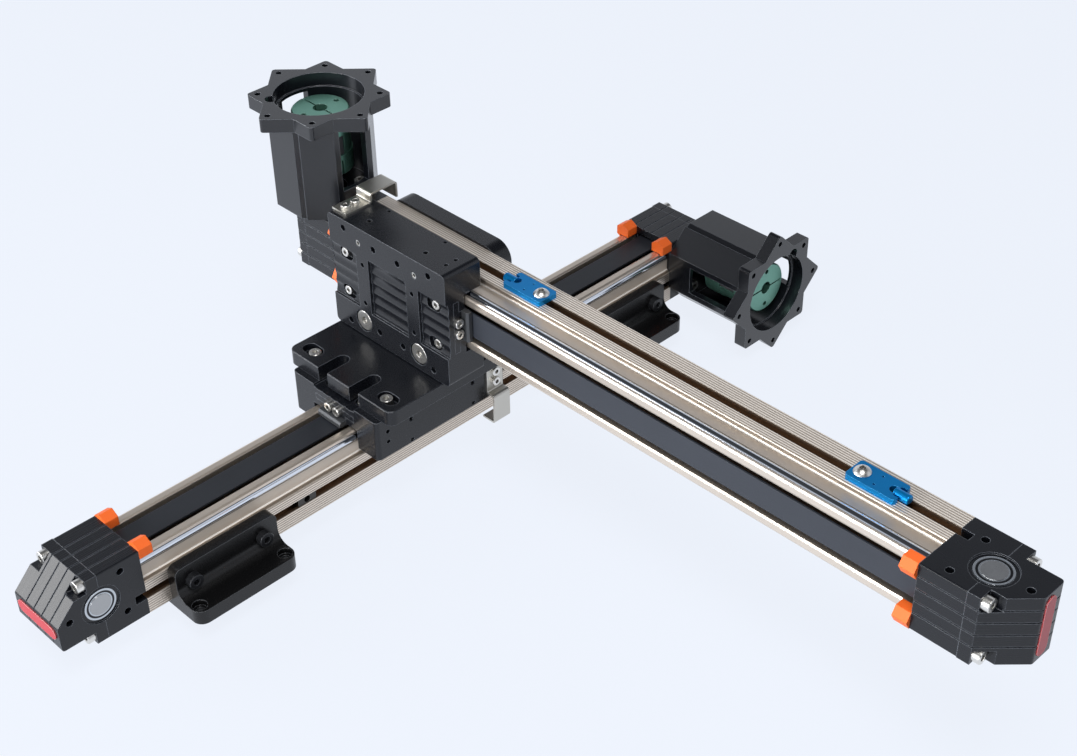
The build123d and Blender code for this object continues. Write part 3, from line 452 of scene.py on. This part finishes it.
blackLook = {
    # dyed anodised aluminium: deep satin black, edges rubbed a little lighter
    "colour": "14161B", "vary": 0.03, "bump": 0.12, "edge": 0.5,
    "edgeTint": 0.45, "edgeTintColour": "9AA0AA", "metallic": 0.0,
}
satinBlack = finish("satinBlackAnodisedAluminium", {
    # bead blasted before dyeing, so its grain has no direction
    **blackLook, "grain": (0.35, 0.35, 0.35), "rough": 0.27, "ior": 1.46})
glossBlack = finish("blackOxideFootSteel", {
    # oiled black oxide: the darkest surface, with a slow broken gloss
    "colour": "0B0B0C", "grain": (0.5, 0.5, 0.5), "rough": 0.3, "vary": 0.06, "bump": 0.35,
    "edge": 0.6, "edgeTint": 0.35, "edgeTintColour": "8A8E95", "metallic": 0.0, "ior": 1.45})
hardChrome = finish("hardChromedSteel", {
    # ground and chromed: sharp white and dark streaks along the rod
    "colour": "DDE2EA", "grain": (0.3, 0.3, 0.3), "rough": 0.1, "vary": 0.03, "bump": 0.05,
    "edge": 0.05, "edgeTint": 0.0, "edgeTintColour": "FFFFFF", "metallic": 1.0})
nickelLook = {
    # plated over turning marks: bright, slightly warm, with soft highlights
    "colour": "E2E0DB", "grain": (0.25, 0.25, 0.25), "rough": 0.3, "vary": 0.04, "bump": 0.08,
    "edge": 0.3, "edgeTint": 0.4, "edgeTintColour": "FFFDF8", "metallic": 1.0}
# the screws get painted shade in their key sockets
nickelSteel = finish("nickelPlatedScrewSteel", nickelLook, paintedSocketShade)
darkNut = finish("phosphatedNutSteel", {
    # phosphate leaves a dull grey metal with brighter corners
    "colour": "4A4846", "grain": (0.3, 0.3, 0.3), "rough": 0.35, "vary": 0.06, "bump": 0.3,
    "edge": 0.25, "edgeTint": 0.4, "edgeTintColour": "B8B4AC", "metallic": 0.9})
blackScrew = finish("blackOxideScrewSteel", {
    # black oxide over turned steel: near black, with grey where a key has rubbed
    "colour": "232427", "grain": (0.3, 0.3, 0.3), "rough": 0.3, "vary": 0.05, "bump": 0.2,
    "edge": 0.3, "edgeTint": 0.5, "edgeTintColour": "84888E", "metallic": 0.3})
greenAnodised = finish("greenAnodisedAluminium", {
    # dye over bright metal: a grey green that keeps a metal's gloss
    "colour": "6FA392", "grain": (0.3, 0.3, 0.3), "rough": 0.32, "vary": 0.05, "bump": 0.2,
    "edge": 0.3, "edgeTint": 0.3, "edgeTintColour": "C9DCD4", "metallic": 0.7})
blueAnodised = finish("blueAnodisedAluminium", {
    # dye over bright metal: a strong blue, paler along the edges
    "colour": "0086CE", "grain": (0.3, 0.3, 0.3), "rough": 0.34, "vary": 0.05, "bump": 0.15,
    "edge": 0.3, "edgeTint": 0.5, "edgeTintColour": "6CC0EC", "metallic": 0.75})
brushedStainless = finish("brushedStainlessStrip", {
    # rolled strip: a soft grey sheen without a sharp reflection
    "colour": "C8C5BD", "grain": (0.5, 0.5, 0.5), "rough": 0.38, "vary": 0.03, "bump": 0.03,
    "edge": 0.15, "edgeTint": 0.4, "edgeTintColour": "F2F0EA", "metallic": 1.0})
redEnamel = finish("redEnamelBadge", {
    # baked enamel: an even clear red inside a pale rim
    "colour": "BA2C36", "grain": (0.4, 0.4, 0.4), "rough": 0.35, "vary": 0.04, "bump": 0.1,
    "edge": 0.4, "edgeTint": 1.0, "edgeTintColour": "EBCBC8", "metallic": 0.0, "ior": 1.4})
clampSteel = finish("greyClampPlate", {
    # sawn and tumbled steel: mid grey, its teeth's edges bright
    "colour": "4C4E51", "grain": (0.4, 0.4, 0.4), "rough": 0.4, "vary": 0.05, "bump": 0.3,
    "edge": 0.2, "edgeTint": 0.5, "edgeTintColour": "A9ACB0", "metallic": 0.5})
orangeUrethane = finish("orangeUrethane", {
    # cast urethane: a saturated orange with a waxy, matt skin
    "colour": "FF7028", "grain": (0.6, 0.6, 0.6), "rough": 0.48, "vary": 0.05, "bump": 0.3,
    "edge": 0.5, "edgeTint": 0.3, "edgeTintColour": "FF8A4C", "metallic": 0.0, "ior": 1.4})
spiderRubber = finish("greySpiderUrethane", {
    # moulded urethane: plain matt grey
    "colour": "4B4C4E", "grain": (0.5, 0.5, 0.5), "rough": 0.55, "vary": 0.05, "bump": 0.3,
    "edge": 0.3, "edgeTint": 0.0, "edgeTintColour": "FFFFFF", "metallic": 0.0})


# materials whose marks follow a module's own axes

bearingLook = {
    # ground rings: a cool bright metal with fine turned marks
    "colour": "C4C9CE", "grain": (0.2, 0.2, 0.2), "rough": 0.2, "vary": 0.05, "bump": 0.1,
    "edge": 0.15, "edgeTint": 0.0, "edgeTintColour": "FFFFFF", "metallic": 1.0}
shaftLook = {
    # faced on a lathe: a grey disc with rings and a bright rim
    "colour": "A9AAAB", "grain": (0.25, 0.25, 0.25), "rough": 0.32, "vary": 0.05, "bump": 0.15,
    "edge": 0.25, "edgeTint": 0.5, "edgeTintColour": "F0F0F0", "metallic": 1.0}
beltLook = {
    # neoprene back: a matt blue black; the upper belt is drawn a little paler than the lower one as
    # painted light
    "grain": (0.5, 0.5, 0.5), "rough": 0.5, "vary": 0.04, "bump": 0.3, "edge": 0.2,
    "edgeTint": 0.3, "edgeTintColour": "6A6E76", "metallic": 0.0, "ior": 1.42,
    "colours": {"lower": "22252B", "upper": "343840"}}
blockLook = {
    # milled along the profile before dyeing, so its fine lines run that way
    **blackLook, "rough": 0.27, "ior": 1.44,
    "grains": {"lower": (0.3, 18, 18), "upper": (18, 18, 0.3)}}
mountLook = {
    # turned and milled along the motor's axis, a little glossier than the blocks
    **blackLook, "rough": 0.24, "ior": 1.62,
    "grains": {"lower": (25, 0.4, 0.4), "upper": (0.4, 0.4, 25)}}

for side in ("lower", "upper"):
    champagne = finish(f"{side}ChampagneAnodisedAluminium", {
        **beamLook, "grain": beamLook["sides"][side]["grain"]}, beamSection(side))
    blockBlack = finish(f"{side}MilledBlackAnodised", {
        **blockLook, "grain": blockLook["grains"][side]})
    mountBlack = finish(f"{side}MountBlackAnodised", {
        **mountLook, "grain": mountLook["grains"][side]})
    bearingSteel = finish(f"{side}GroundBearingSteel", bearingLook, turnedRings(side, bearingGap))
    shaftSteel = finish(f"{side}TurnedShaftSteel", shaftLook, turnedRings(side))
    beltBack = finish(f"{side}BeltNeoprene", {**beltLook, "colour": beltLook["colours"][side]})
    carriageScrew = finish(f"{side}CarriageScrewNickel", nickelLook, blackLockScrews(side))
    paint(champagne, f"{side}_beam")
    paint(hardChrome, f"{side}_guide_rods")
    paint(beltBack, f"{side}_belt")
    paint(blockBlack, f"{side}_drive_housing", f"{side}_idler_housing", f"{side}_end_caps")
    paint(mountBlack, f"{side}_motor_mount")
    paint(satinBlack, f"{side}_carriage", f"{side}_belt_clamps")
    paint(redEnamel, f"{side}_badge")
    paint(bearingSteel, f"{side}_shaft_bearings")
    paint(nickelSteel, *[f"{side}_roller_{number}" for number in (1, 2, 3, 4)])
    paint(shaftSteel, f"{side}_idler_pulley", f"{side}_drive_pulley")
    paint(greenAnodised, f"{side}_coupling_hubs")
    paint(spiderRubber, f"{side}_coupling_spider")
    paint(orangeUrethane, f"{side}_bumpers")
    paint(nickelSteel, f"{side}_housing_screws", f"{side}_roller_studs")
    paint(carriageScrew, f"{side}_carriage_screws")
    paint(clampSteel, f"{side}_tooth_plates")
    paint(brushedStainless, f"{side}_sensor_flag")
    paint(darkNut, f"{side}_slot_nuts")
paint(satinBlack, "cross_plate", "cross_upright")
paint(glossBlack, "feet")
paint(nickelSteel, "cross_screws", "sensor_screws")
paint(blackScrew, "foot_bolts")
paint(blueAnodised, "sensor_plates")
print("materials made")
